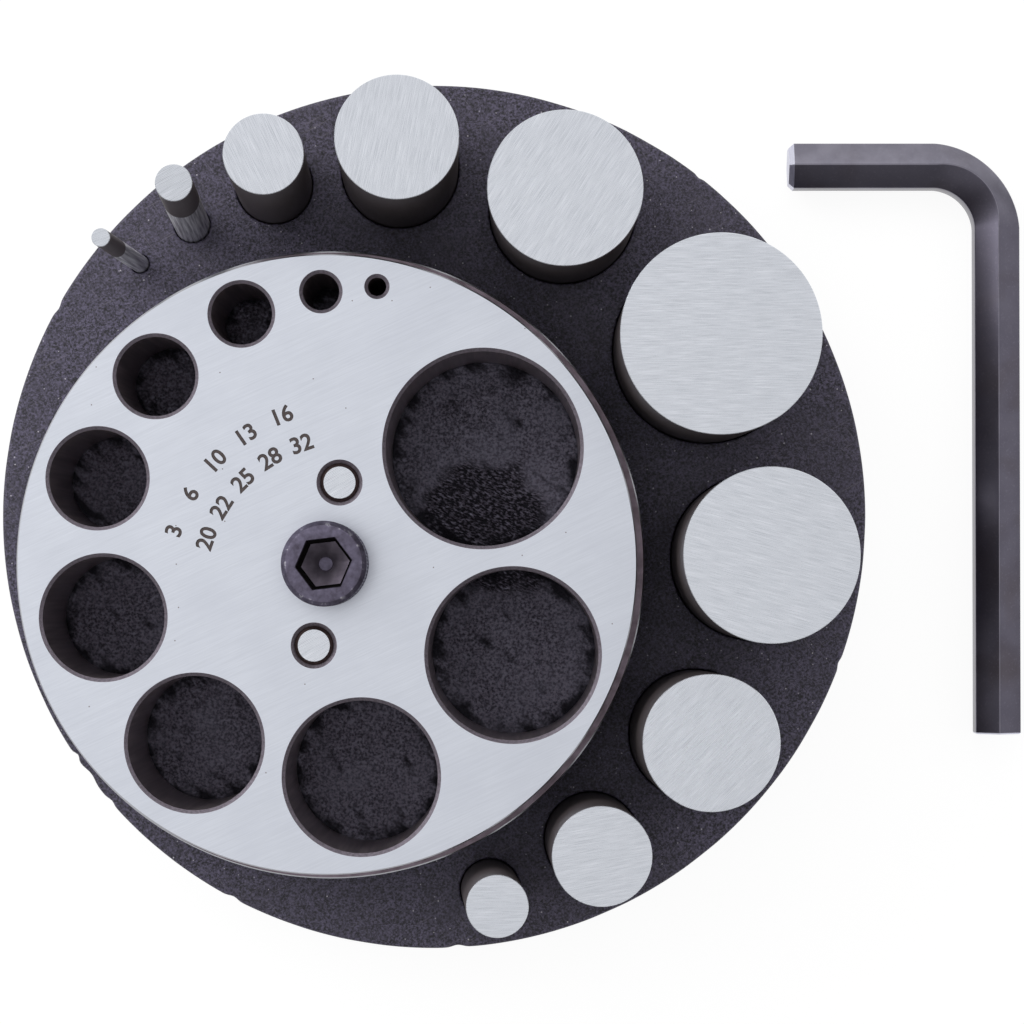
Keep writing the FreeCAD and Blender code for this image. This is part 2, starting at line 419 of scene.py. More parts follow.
def make_bar_tree():
    """A hexagonal bar bent once, with rounded corners along it and chamfered ends."""
    tree = new_tree("Bent hexagon bar", {
        "Host": "Geometry", "Start": "Vector", "Corner": "Vector", "End": "Vector",
        "Bend radius": "Float", "Corner radius": "Float", "Edge round": "Float",
        "Start chamfer": "Float", "End chamfer": "Float", "Material": "Material"})
    given = add(tree, "NodeGroupInput").outputs
    line = add(tree, "GeometryNodeCurvePrimitiveLine", {"End": (1.0, 0.0, 0.0)})
    three = add(tree, "GeometryNodeResampleCurve", {"Curve": line, "Count": 3})
    index = add(tree, "GeometryNodeInputIndex")
    stops = add(tree, "GeometryNodeIndexSwitch", data_type="VECTOR")
    stops.index_switch_items.new()
    tree.links.new(index.outputs[0], stops.inputs["Index"])
    for number, name in enumerate(("Start", "Corner", "End"), 1):
        tree.links.new(given[name], stops.inputs[number])
    bent = add(tree, "GeometryNodeSetPosition", {"Geometry": three, "Position": stops})
    path = add(tree, "GeometryNodeFilletCurve",
               {"Curve": bent, "Count": KEY_BEND_STEPS, "Radius": given["Bend radius"]}, mode="POLY")
    upright = add(tree, "GeometryNodeSetCurveNormal", {"Curve": path}, mode="Z_UP")
    hexagon = add(tree, "GeometryNodeCurvePrimitiveCircle",
                  {"Resolution": 6, "Radius": given["Corner radius"]}, mode="RADIUS")
    turned = add(tree, "GeometryNodeTransform", {"Geometry": hexagon, "Rotation": (0.0, 0.0, math.pi / 6)})
    section = add(tree, "GeometryNodeFilletCurve",
                  {"Curve": turned, "Count": KEY_EDGE_STEPS, "Radius": given["Edge round"]}, mode="POLY")
    bar = add(tree, "GeometryNodeCurveToMesh", {"Curve": upright, "Profile Curve": section,
                                                "Fill Caps": True})
    # Only the bar's two end caps touch more than four faces
    sides = add(tree, "GeometryNodeInputMeshFaceNeighbors")
    caps = add(tree, "FunctionNodeCompare", [sides, 4.5], operation="GREATER_THAN")
    place = add(tree, "GeometryNodeInputPosition")
    apart = add(tree, "VectorMath", [place, given["Start"]], operation="DISTANCE")
    at_start = add(tree, "FunctionNodeCompare", [apart, given["Corner radius"]], operation="LESS_THAN")
    chamfer = add(tree, "GeometryNodeSwitch",
                  {"Switch": at_start, "False": given["End chamfer"], "True": given["Start chamfer"]},
                  input_type="FLOAT")
    stretched = add(tree, "GeometryNodeExtrudeMesh",
                    {"Mesh": bar, "Selection": caps, "Offset Scale": chamfer, "Individual": True},
                    mode="FACES")
    chamfer_share = add(tree, "Math", [chamfer, given["Corner radius"]], operation="DIVIDE")
    shrink = add(tree, "Math", [1.0, chamfer_share], operation="SUBTRACT")
    ended = add(tree, "GeometryNodeScaleElements",
                {"Geometry": stretched, "Selection": stretched.outputs["Top"], "Scale": shrink},
                domain="FACE")
    end_tree(tree, ended, given["Material"])
    return tree


# ---------------------------------------------------------------- materials

def new_material(name):
    material = bpy.data.materials.new(name)
    material.use_nodes = True
    material.node_tree.nodes.clear()
    return material, material.node_tree


def end_material(material, tree, sockets):
    """The last nodes of every piece's material; sockets are those of its shader."""
    shader = add(tree, "BsdfPrincipled", sockets)
    add(tree, "OutputMaterial", {"Surface": shader})
    return material


def grain(tree, size, source="Object", turn=0.0, detail=3.0, roughness=0.55, shift=0.0):
    """Noise whose features measure size = (x, y, z) millimetres, turned about Z."""
    place = add(tree, "TexCoord").outputs[source]
    laid = add(tree, "Mapping",
               {"Vector": place, "Location": (shift, shift, 0.0),
                "Rotation": (0.0, 0.0, math.radians(turn)), "Scale": [side * MM for side in size]},
               vector_type="TEXTURE")
    return add(tree, "TexNoise", {"Vector": laid, "Scale": 1.0, "Detail": detail, "Roughness": roughness})


def blended(tree, share, low, high, span=None, most=1.0):
    """Colour that goes from low to high with a share of 0 to 1, or while a value crosses a span.

    Low and high are sRGB hex values or nodes. Past the end of the span the share of high is most.
    """
    low, high = (srgb(colour) if isinstance(colour, str) else colour for colour in (low, high))
    if span:
        share = add(tree, "MapRange", [share, span[0], span[1], 0.0, most])
    return add(tree, "Mix", {0: share, 6: low, 7: high}, data_type="RGBA")


def specks(tree, spacing, radius, share):
    """Small round spots on level faces, in some cells of a net with that spacing in millimetres."""
    place = add(tree, "TexCoord").outputs["Object"]
    cells = add(tree, "TexVoronoi", {"Vector": place, "Scale": 1 / (spacing * MM)},
                voronoi_dimensions="2D")
    near = add(tree, "MapRange", [cells.outputs["Distance"], radius / spacing, 0.5 * radius / spacing])
    lot = add(tree, "SeparateColor", [cells.outputs["Color"]])
    chosen = add(tree, "Math", [lot, share], operation="LESS_THAN")
    facing = add(tree, "SeparateXYZ", [add(tree, "NewGeometry").outputs["Normal"]])
    level = add(tree, "Math", [facing.outputs["Z"], 0.9], operation="GREATER_THAN")
    settled = add(tree, "Math", [chosen, level], operation="MULTIPLY")
    return add(tree, "Math", [near, settled], operation="MULTIPLY")


def two_tone(name, size, dark, light, finish, span=None, source="Object"):
    """Material that wavers between two colours; finish holds its shader's other sockets."""
    material, tree = new_material(name)
    colour = blended(tree, grain(tree, size, source), dark, light, span)
    return end_material(material, tree, {"Base Color": colour, **finish})


def moulded_rubber():
    """Black rubber from a sand-blasted mould: dull and grainy, faintly purple, with dust and scuffs."""
    material, tree = new_material("moulded_black_rubber")
    blast = grain(tree, (0.36, 0.36, 0.36), detail=4, roughness=0.7)
    blasted = blended(tree, blast, "#0c0a10", "#6d6780", (0.40, 0.66))
    clouded = blended(tree, grain(tree, (14, 14, 14)), blasted, "#3c3845", (0.35, 0.7), most=0.4)
    along = grain(tree, (10, 0.3, 10), turn=28, detail=2)
    across = grain(tree, (7, 0.26, 7), turn=-52, detail=2, shift=0.3)
    both = add(tree, "Math", [along, across], operation="MAXIMUM")
    scuffed = blended(tree, both, clouded, "#6a6570", (0.64, 0.74), most=0.6)
    # The finest dust is drawn coarser than it is, so that it shows at all
    dust = add(tree, "Math", [specks(tree, 4.6, 0.16, 0.35), specks(tree, 2.6, 0.12, 0.15)],
               operation="MAXIMUM")
    dusty = blended(tree, dust, scuffed, "#b5b1ba")
    rough = add(tree, "MapRange", [blast, 0.3, 0.7, 0.48, 0.64])
    normal = add(tree, "Bump", {"Height": blast, "Distance": 0.08 * MM})
    return end_material(material, tree, {"Base Color": dusty, "Roughness": rough,
                                         "Specular IOR Level": 0.45, "Normal": normal})


def pebbled_rubber():
    """The recess's floor: oily black rubber with fine pebbles and wrinkles whose tops are painted lighter,
    a painted sheen; stains are dull and black, and so is a band of painted shade along each hole's wall."""
    material, tree = new_material("pebbled_oily_rubber")
    place = add(tree, "TexCoord").outputs["Object"]
    calm = grain(tree, (9, 9, 9), detail=2, shift=0.05)
    distance = add(tree, "VectorMath", [place, WRINKLE_PLACE * MM], operation="DISTANCE")
    ragged = add(tree, "Math", [calm, 0.02, distance], operation="MULTIPLY_ADD")
    patch = add(tree, "MapRange", [ragged, 0.024, 0.021])
    fine = grain(tree, (0.45, 0.45, 0.45), detail=4, roughness=0.6)
    pebble = add(tree, "MapRange", [fine, 0.38, 0.6])
    calm_share = add(tree, "MapRange", [calm, 0.35, 0.65, 0.3, 0.6])
    calmed = add(tree, "Mix", {0: calm_share, 2: pebble, 3: 0.5})
    wrinkle = grain(tree, (0.8, 0.36, 0.8), turn=-22, detail=4, roughness=0.6)
    ridge = add(tree, "MapRange", [wrinkle, 0.46, 0.62])
    relief = add(tree, "Mix", {0: patch, 2: calmed, 3: ridge})
    blotch = grain(tree, (5, 2.5, 5), turn=-40, shift=0.02)
    # The attribute read here is painted shade: 1 at each hole's wall, falling to 0 a few millimetres
    # inside
    near_wall = add(tree, "Attribute", attribute_name="wear").outputs["Fac"]
    darkened = add(tree, "Math", [near_wall, 0.24, blotch], operation="MULTIPLY_ADD")
    clear = add(tree, "MapRange", [darkened, 0.76, 0.58, 0.08, 1.0])
    # Colour and shine follow the relief, so the tops of pebbles and wrinkles get a painted sheen; the
    # walls' painted shade and the stains darken both
    painted_sheen_and_gloss = add(tree, "Math", [relief, clear], operation="MULTIPLY")
    colour = blended(tree, painted_sheen_and_gloss, "#060507", "#6c6977")
    shine = add(tree, "MapRange", {"Value": painted_sheen_and_gloss, 3: 0.1, 4: 1.0})
    normal = add(tree, "Bump", {"Height": relief, "Distance": 0.1 * MM})
    return end_material(material, tree, {
        "Base Color": colour, "Roughness": 0.28, "IOR": 1.6, "Specular IOR Level": shine,
        "Specular Tint": srgb("#dcdcf6"), "Normal": normal})


def ground_steel():
    """Tool steel off a surface grinder: pale and even, with faint fine lines and a soft cloudy sheen."""
    material, tree = new_material("surface_ground_tool_steel")
    lines = grain(tree, (7, 0.17, 7), turn=24, roughness=0.6)
    lined = blended(tree, lines, "#d2d6e0", "#dce0ea", (0.3, 0.7))
    clouded = blended(tree, grain(tree, (9, 9, 9)), lined, "#caced9", (0.4, 0.7), most=0.3)
    spotted = blended(tree, specks(tree, 7.0, 0.13, 0.3), clouded, "#6f625f")
    rough = add(tree, "MapRange", [lines, 0.3, 0.7, 0.31, 0.35])
    return end_material(material, tree, {"Base Color": spotted, "Metallic": 1.0, "Roughness": rough})


def reamed_steel():
    """Bore of a reamed hole: brown-grey and darker than the face, with fine streaks along it."""
    material, tree = new_material("reamed_tool_steel")
    streak = grain(tree, (0.5, 0.5, 30))
    colour = blended(tree, streak, "#988d90", "#c2b7ba", (0.3, 0.7))
    rough = add(tree, "MapRange", [streak, 0.3, 0.7, 0.30, 0.42])
    return end_material(material, tree, {"Base Color": colour, "Metallic": 1.0, "Roughness": rough})


def countersunk_steel():
    """Chamfer cut round a hole: a satin, faintly violet ring."""
    return two_tone("countersunk_tool_steel", (0.4, 0.4, 0.4), "#7f7881", "#a199a4",
                    {"Metallic": 1.0, "Roughness": 0.6}, (0.3, 0.7))


def turned_steel():
    """Turned rim of a plate: fine rings round it, a little darker than the ground face."""
    material, tree = new_material("turned_tool_steel")
    rings = grain(tree, (25, 25, 0.14))
    colour = blended(tree, rings, "#a9aab0", "#bfc0c6")
    rough = add(tree, "MapRange", [rings, 0.3, 0.7, 0.30, 0.42])
    normal = add(tree, "Bump", {"Height": rings, "Distance": 0.006 * MM})
    return end_material(material, tree, {"Base Color": colour, "Metallic": 1.0, "Roughness": rough,
                                         "Normal": normal})


def ledge_steel():
    """The lower plate's ledge: coarse turned steel coloured dull purple-brown, painted shade from the
    guide plate's wall and the punches beside it.
    """
    return two_tone("oil_browned_turned_steel", (3, 3, 3), "#6f636b", "#91848f",
                    {"Metallic": 1.0, "Roughness": 0.45}, (0.35, 0.65))


def marked_steel():
    """Laser-marked number: a shallow dark brown-grey burn in the steel."""
    return two_tone("laser_marked_steel", (0.3, 0.3, 0.3), "#322b2c", "#665c5b",
                    {"Metallic": 0.4, "Roughness": 0.6})


def ground_punch_end(name, dark, light):
    """Punch end off a surface grinder: straight lines of uneven length, laid by the piece's own map."""
    material, tree = new_material(name)
    lines = grain(tree, (4.5, 0.15, 1), source="UV", detail=4, roughness=0.65)
    lined = blended(tree, lines, dark, light, (0.3, 0.7))
    colour = blended(tree, grain(tree, (9, 0.8, 1), source="UV"), lined, dark, (0.3, 0.7), most=0.3)
    rough = add(tree, "MapRange", [lines, 0.3, 0.7, 0.24, 0.32])
    return end_material(material, tree, {"Base Color": colour, "Metallic": 1.0, "Roughness": rough})


def punch_wall(name, browned_from):
    """Punch wall, browned from some height up: nearly black there, streaky bright steel below it."""
    material, tree = new_material(name)
    bright = blended(tree, grain(tree, (0.45, 18, 1), source="UV"), "#a5a3ab", "#f8f8fb", (0.35, 0.65))
    brown = blended(tree, grain(tree, (6, 0.2, 1), source="UV"), "#474041", "#5a5254", (0.3, 0.7))
    height = add(tree, "SeparateXYZ", [add(tree, "TexCoord").outputs["UV"]])
    share = add(tree, "MapRange", [height.outputs["Y"], (browned_from - 0.4) * MM, browned_from * MM])
    colour = blended(tree, share, bright, brown)
    bare = add(tree, "MapRange", {"Value": share, 3: 1.0, 4: 0.3})
    return end_material(material, tree, {"Base Color": colour, "Metallic": bare, "Roughness": 0.5})


def browned_pin_edge():
    """Chamfer of a hardened dowel pin, left dark brown by its heat treatment."""
    return two_tone("heat_browned_dowel_steel", (0.5, 0.5, 1), "#3d3230", "#625452",
                    {"Metallic": 1.0, "Roughness": 0.4}, source="UV")


def black_oxide():
    """Oiled black oxide on drawn steel: blue-violet black, finely pitted, browner in oily patches
    and rubbed lighter on its edges, with a painted highlight on the short arm's upper outer side."""
    material, tree = new_material("oiled_black_oxide_steel")
    cloud = grain(tree, (5, 5, 5))
    colour = blended(tree, cloud, "#56535f", "#696672")
    oil = grain(tree, (14, 14, 14), detail=2, shift=0.04)
    darkened = blended(tree, oil, colour, "#4c4341", (0.48, 0.62), most=0.4)
    pitted = blended(tree, grain(tree, (0.45, 0.45, 0.45)), darkened, "#767280", (0.56, 0.72), most=0.35)
    # The attribute holds real wear along the key's corners and a painted highlight on its short arm's
    # upper side
    wear = add(tree, "Attribute", attribute_name="wear").outputs["Fac"]
    patchy = add(tree, "MapRange", [cloud, 0.4, 0.6, 0.5, 0.72])
    wear_and_highlight_share = add(tree, "Math", [wear, patchy], operation="MULTIPLY")
    lightened = blended(tree, wear_and_highlight_share, pitted, "#a3a1ad")
    return end_material(material, tree, {"Base Color": lightened, "Metallic": 1.0, "Roughness": 0.3})


def cut_key_end():
    """Cut and bevelled end of the key: bare satin steel with a faint violet tint."""
    return two_tone("bare_cut_key_steel", (0.3, 2, 2), "#c0c0d2", "#e4e4f0",
                    {"Metallic": 1.0, "Roughness": 0.4})


def mottled_oxide():
    """Hot black oxide on the screw: purple-grey and mottled, with bare specks along the rim."""
    material, tree = new_material("mottled_black_oxide_steel")
    mottle = grain(tree, (1.3, 1.3, 1.3), detail=4, roughness=0.65)
    colour = blended(tree, mottle, "#4e4956", "#726d81", (0.3, 0.7))
    wear = add(tree, "Attribute", attribute_name="wear").outputs["Fac"]
    bare = add(tree, "MapRange", [mottle, 0.58, 0.66])
    bare_share = add(tree, "Math", [wear, bare], operation="MULTIPLY")
    lightened = blended(tree, bare_share, colour, "#b4b2ba")
    return end_material(material, tree, {"Base Color": lightened, "Metallic": 1.0, "Roughness": 0.46})


def sooty_oxide():
    """Broached walls of the screw's socket: black oxide coloured almost black, painted shade of the deep
    socket, with almost no shine.
    """
    return two_tone("dirty_broached_oxide", (0.5, 0.5, 0.5), "#0c0a0b", "#1d191a",
                    {"Roughness": 0.6, "Specular IOR Level": 0.1})


def drilled_oxide():
    """Drilled floor of the screw's socket: dull, patchy purple-brown oxide."""
    return two_tone("drilled_dull_oxide", (1.2, 1.2, 1.2), "#544d59", "#857d8a",
                    {"Metallic": 1.0, "Roughness": 0.5})


# ---------------------------------------------------------------- rubber base

def rounded_end(radius, centre, size, start, steps=4):
    """(radius, height) pairs round the rounded end of a wall; a hole's rounding is negative."""
    turns = [math.radians(start + 90 * step / steps) for step in range(steps + 1)]
    return [(radius - size + size * math.cos(turn), centre + abs(size) * math.sin(turn))
            for turn in turns]


def wall_profile(radius, low, high, low_round, high_round):
    """(radius, height) pairs up a wall whose ends are rounded."""
    return (rounded_end(radius, low + abs(low_round), low_round, -90)
            + rounded_end(radius, high - abs(high_round), high_round, 0))


def square_circle(centre, axis, radius, count):
    """Circle square to a leaning axis."""
    across = axis.cross(Vector((0, 1, 0))).normalized()
    forward = axis.cross(across)
    turns = [2 * math.pi * i / count for i in range(count)]
    return [centre + (across * math.cos(a) - forward * math.sin(a)) * radius for a in turns]


def leaning_circle(foot, axis, radius, height, count):
    """Where a leaning tube round an axis crosses a level plane."""
    return [point + axis * ((height - point.z) / axis.z)
            for point in square_circle(foot, axis, radius, count)]


# Nicks in the base's rim: angle round the base in degrees, width and depth in millimetres
RIM_NICKS = ((-146.1, 2.2, 0.5), (-143.0, 5.0, 0.45), (-138.5, 2.6, 0.3), (-117.7, 3.0, 0.35),
             (-86.8, 3.4, 0.4), (-20.0, 2.4, 0.25), (52.0, 2.0, 0.25), (151.0, 2.8, 0.3))


def nicked(ring, share):
    """Press the rim's nicks into a ring of the base's wall, each a bell curve as wide as it says."""
    pressed = []
    for point in ring:
        angle = math.degrees(math.atan2(point.y, point.x))
        depth = RIM_WAVINESS * noise.noise(Vector((point.x, point.y, 0)) * RIM_WAVES_PER_MM)
        for place, width, deep in RIM_NICKS:
            off = math.radians((angle - place + 180) % 360 - 180) * BASE_RADIUS / width
            depth += deep * math.exp(-8 * off * off)
        scale = 1 - max(0, depth) * share / BASE_RADIUS
        sink = NICK_SINK * max(0, depth) * share
        pressed.append(Vector((point.x * scale, point.y * scale, point.z - sink)))
    return pressed


def pebble_height(point):
    """Relief of the recess's floor: fine pebbles, and coarser wrinkles round one place."""
    spot = Vector((point.x, point.y, 0))
    fine = noise.noise(spot * PEBBLES_PER_MM)
    east, north = WRINKLE_HEADING
    turned = Vector((east * spot.x + north * spot.y,
                     WRINKLE_SQUEEZE * (east * spot.y - north * spot.x), 3))
    coarse = noise.noise(turned * WRINKLES_PER_MM)
    reach = (point.xy - WRINKLE_PLACE.xy).length + WRINKLE_RAGGEDNESS * noise.noise(spot * 0.2)
    patch = min(1, max(0, (WRINKLE_REACH - reach) / WRINKLE_EDGE))
    return PEBBLE_HEIGHT * fine + WRINKLE_HEIGHT * coarse * patch


def add_pebbled_floor(shell, wall_loop, holes):
    """Floor of the recess: flat under the die, and with its fine relief under each hole."""
    patches = []
    for x, y, hole_radius in holes:
        radius = hole_radius + PEBBLE_MARGIN
        count = segments(radius, 0.7)
        patches.append((x, y, radius, shell.loop(circle(x, y, radius, DIE_BOTTOM, count))))
    shell.fill([wall_loop] + [patch[3] for patch in patches], 1)
    picker = random.Random(11)
    for x, y, radius, rim in patches:
        inner = []
        reach = int(radius / PEBBLE_STEP)
        for i in range(-reach, reach + 1):
            for j in range(-reach, reach + 1):
                along = (i + 0.5 * (j % 2)) * PEBBLE_STEP
                spot = Vector((x + along, y + j * PEBBLE_ROW_STEP, DIE_BOTTOM))
                room = radius - (spot.xy - Vector((x, y))).length
                if room > PEBBLE_START:
                    spot.x += picker.uniform(-PEBBLE_JITTER, PEBBLE_JITTER)
                    spot.y += picker.uniform(-PEBBLE_JITTER, PEBBLE_JITTER)
                    spot.z += min(1, room / PEBBLE_FADE) * min(0, pebble_height(spot) - PEBBLE_SINK)
                    inner.append(spot)
        shell.fill([rim], 1, extra=shell.loop(inner))


def near_hole_wall(point, holes):
    """1 where the die sits on the rubber, falling to 0 some millimetres inside each of its holes."""
    for x, y, radius in holes:
        room = radius - math.hypot(point.x - x, point.y - y)
        if room > -PEBBLE_MARGIN:
            return min(1, max(0, 1 - room / WALL_SHADE_BAND))
    return 1


def make_rubber_base(holes, punches):
    shell = Shell()
    count = segments(BASE_RADIUS)
    outer = wall_profile(BASE_RADIUS, 0, BASE_TOP, BASE_EDGE_ROUND, BASE_EDGE_ROUND)
    nick_end = BASE_TOP - NICK_DEPTH - NICK_FADE
    rings = [nicked(circle(0, 0, r, z, count), min(1, max(0, (z - nick_end) / NICK_FADE)))
             for r, z in outer]
    bottom, rim = shell.loft(rings)
    shell.fill([bottom])
    tops = [rim]
    recess_radius = DIE_PLATE_RADIUS + RECESS_GAP
    recess = wall_profile(recess_radius, DIE_BOTTOM, BASE_TOP, -RECESS_FOOT_ROUND, -LIP_ROUND)
    count = segments(recess_radius, 0.6)
    floor, lip = shell.loft([circle(*DIE_CENTRE, r, z, count) for r, z in recess])
    tops.append(lip)
    add_pebbled_floor(shell, floor, holes)
    for size, (foot, axis) in punches.items():
        radius = size / 2 + SOCKET_GAP
        count = segments(radius)
        rings = [square_circle(foot, axis, radius, count)]
        for r, z in rounded_end(radius, BASE_TOP - LIP_ROUND, -LIP_ROUND, 0):
            rings.append(leaning_circle(foot, axis, r, z, count))
        floor, lip = shell.loft(rings)
        shell.add_face(tuple(floor), 0)
        tops.append(lip)
    shell.fill(tops)
    skin = shell.build("rubber_base_skin", [moulded_rubber(), pebbled_rubber()])
    # The floor's attribute is painted shade: full under the die and at each hole's wall, gone a band's
    # width inside
    set_wear(skin.data, lambda p: near_hole_wall(p / MM, holes))
    return skin


# ---------------------------------------------------------------- die plates

def digit_loops(text, size, place, turn):
    """Outlines of a number's digits, each a list of points in millimetres."""
    curve = bpy.data.curves.new("number", "FONT")
    curve.body = text
    curve.size = size
    curve.align_x = "CENTER"
    curve.align_y = "CENTER"
    curve.offset = NUMBER_WEIGHT
    curve.resolution_u = 5
    host = bpy.data.objects.new("number", curve)
    mesh = bpy.data.meshes.new_from_object(host)
    work = bmesh.new()
    work.from_mesh(mesh)
    bmesh.ops.remove_doubles(work, verts=work.verts, dist=0.0005)
    onward = {}
    for edge in work.edges:
        if edge.is_boundary:
            start, end = edge.verts
            if edge.link_loops[0].vert != start:
                start, end = end, start
            onward[start] = end
    loops = []
    spin = Matrix.Rotation(turn, 3, "Z")
    while onward:
        start, point = onward.popitem()
        loop = [start]
        while point != loop[0]:
            loop.append(point)
            point = onward.pop(point)
        loops.append([place + spin @ Vector(v.co) for v in loop])
    work.free()
    bpy.data.meshes.remove(mesh)
    bpy.data.objects.remove(host)
    bpy.data.curves.remove(curve)
    return loops


def engraved_sizes(sizes):
    """The ten cutting sizes as plain numbers, on two arcs between the small holes and the screw."""
    loops = []
    centre = DIE_CENTRE + Vector(NUMBER_ARC_SHIFT)
    for row, (radius, first, last) in enumerate(NUMBER_ARCS):
        numbers = sizes[5 * row:5 * row + 5]
        for i, size in enumerate(numbers):
            angle = math.radians(first + (last - first) * i / (len(numbers) - 1))
            place = Vector((centre.x + radius * math.cos(angle), centre.y + radius * math.sin(angle), 0))
            loops += digit_loops(str(size), NUMBER_SIZE, place, angle - math.pi / 2)
    return loops


# Numbers of a plate's finishes, in the order of its materials
FACE, BORE, RIM, CHAMFER, MARK, LEDGE = range(6)


def bore(centre, radius, span, low_chamfer=0, high_chamfer=0):
    """A plate's bore: x, y, and its (radius, height) profile from the plate's lower face up."""
    low, high = span
    profile = [(radius, low + low_chamfer), (radius, high - high_chamfer)]
    if low_chamfer:
        profile.insert(0, (radius + low_chamfer, low))
    if high_chamfer:
        profile.append((radius + high_chamfer, high))
    return (*centre, profile)


def make_plate(name, radius, low, high, rim_chamfers, bores, materials, engraving=(), ledge_from=None):
    """Round plate with its bores, engraved on top or with a ledge round a smaller plate above it."""
    shell = Shell()
    low_chamfer, high_chamfer = rim_chamfers
    rim = [(radius - low_chamfer, low), (radius, low + low_chamfer),
           (radius, high - high_chamfer), (radius - high_chamfer, high)]
    low_loops, high_loops = [], []
    for x, y, profile in [(*DIE_CENTRE, rim)] + bores:
        count = segments(max(r for r, z in profile), 0.4)
        wall = RIM if profile is rim else BORE
        finishes = [wall if profile is rim or low_end[0] == high_end[0] else CHAMFER
                    for low_end, high_end in zip(profile, profile[1:])]
        low_loop, high_loop = shell.loft([circle(x, y, r, z, count) for r, z in profile], finishes)
        low_loops.append(low_loop)
        high_loops.append(high_loop)
    cuts = []
    for outline in engraving:
        lower, upper = shell.loft([[Vector((p.x, p.y, z)) for p in outline]
                                   for z in (high - NUMBER_DEPTH, high)], [MARK])
        high_loops.append(upper)
        cuts.append(lower)
    shell.fill(low_loops, FACE)
    if ledge_from:
        inner = shell.loop(circle(*DIE_CENTRE, ledge_from, high, segments(radius, 0.4)))
        shell.fill([high_loops[0], inner], LEDGE)
        high_loops[0] = inner
    shell.fill(high_loops, FACE)
    if cuts:
        shell.fill(cuts, MARK)
    return shell.build(name, materials)


# ---------------------------------------------------------------- turned pieces

def spun(tree, profile, material, values, forms=()):
    """Mesh, in millimetres, of a profile of (radius, height) pairs spun on the lathe tree."""
    mesh = bpy.data.meshes.new("profile")
    mesh.from_pydata([(r, 0, z) for r, z in profile], [(i, i + 1) for i in range(len(profile) - 1)], [])
    if forms:
        form = mesh.attributes.new("form", "FLOAT_VECTOR", "POINT")
        form.data.foreach_set("vector", [share for row in forms for share in row])
    sizes = {"Start angle": 0.0, "Flutes": 0, "Flute depth": 0.0, "Pitch": 1.0, "Thread depth": 0.0,
             "Material": material}
    sizes.update(values)
    return bake(tree, mesh, sizes)


def map_grind(mesh, radius, grind_angle, end_slope):
    """Map in metres: along the grinding lines on the ends, and round and up on the wall."""
    uv = mesh.uv_layers.new(name="Grind")
    turn = Matrix.Rotation(-math.radians(grind_angle), 2)
    for face in mesh.polygons:
        on_end = abs(face.normal.z) > end_slope
        face.material_index = 0 if on_end else 1
        middle = math.atan2(face.center.y, face.center.x)
        for corner in face.loop_indices:
            point = mesh.vertices[mesh.loops[corner].vertex_index].co
            if on_end:
                uv.data[corner].uv = turn @ point.xy * MM
            else:
                angle = math.atan2(point.y, point.x)
                angle += round((middle - angle) / (2 * math.pi)) * 2 * math.pi
                uv.data[corner].uv = (angle * radius * MM, point.z * MM)


def make_rod(name, tree, foot, axis, radius, length, chamfer, grind_angle, materials, end_slope=0.5):
    """Ground rod with an edge break at both ends: a punch or a dowel pin."""
    profile = [(0, 0), (radius - chamfer, 0), (radius, chamfer), (radius, length - chamfer),
               (radius - chamfer, length), (0, length)]
    mesh = spun(tree, profile, materials[0], {"Segments": segments(radius, 0.4)})
    mesh.materials.append(materials[1])
    map_grind(mesh, radius, grind_angle, end_slope)
    stand = Matrix.Translation(foot) @ UP.rotation_difference(axis).to_matrix().to_4x4()
    mesh.transform(Matrix.Scale(MM, 4) @ stand)
    return finished_object(name, mesh)


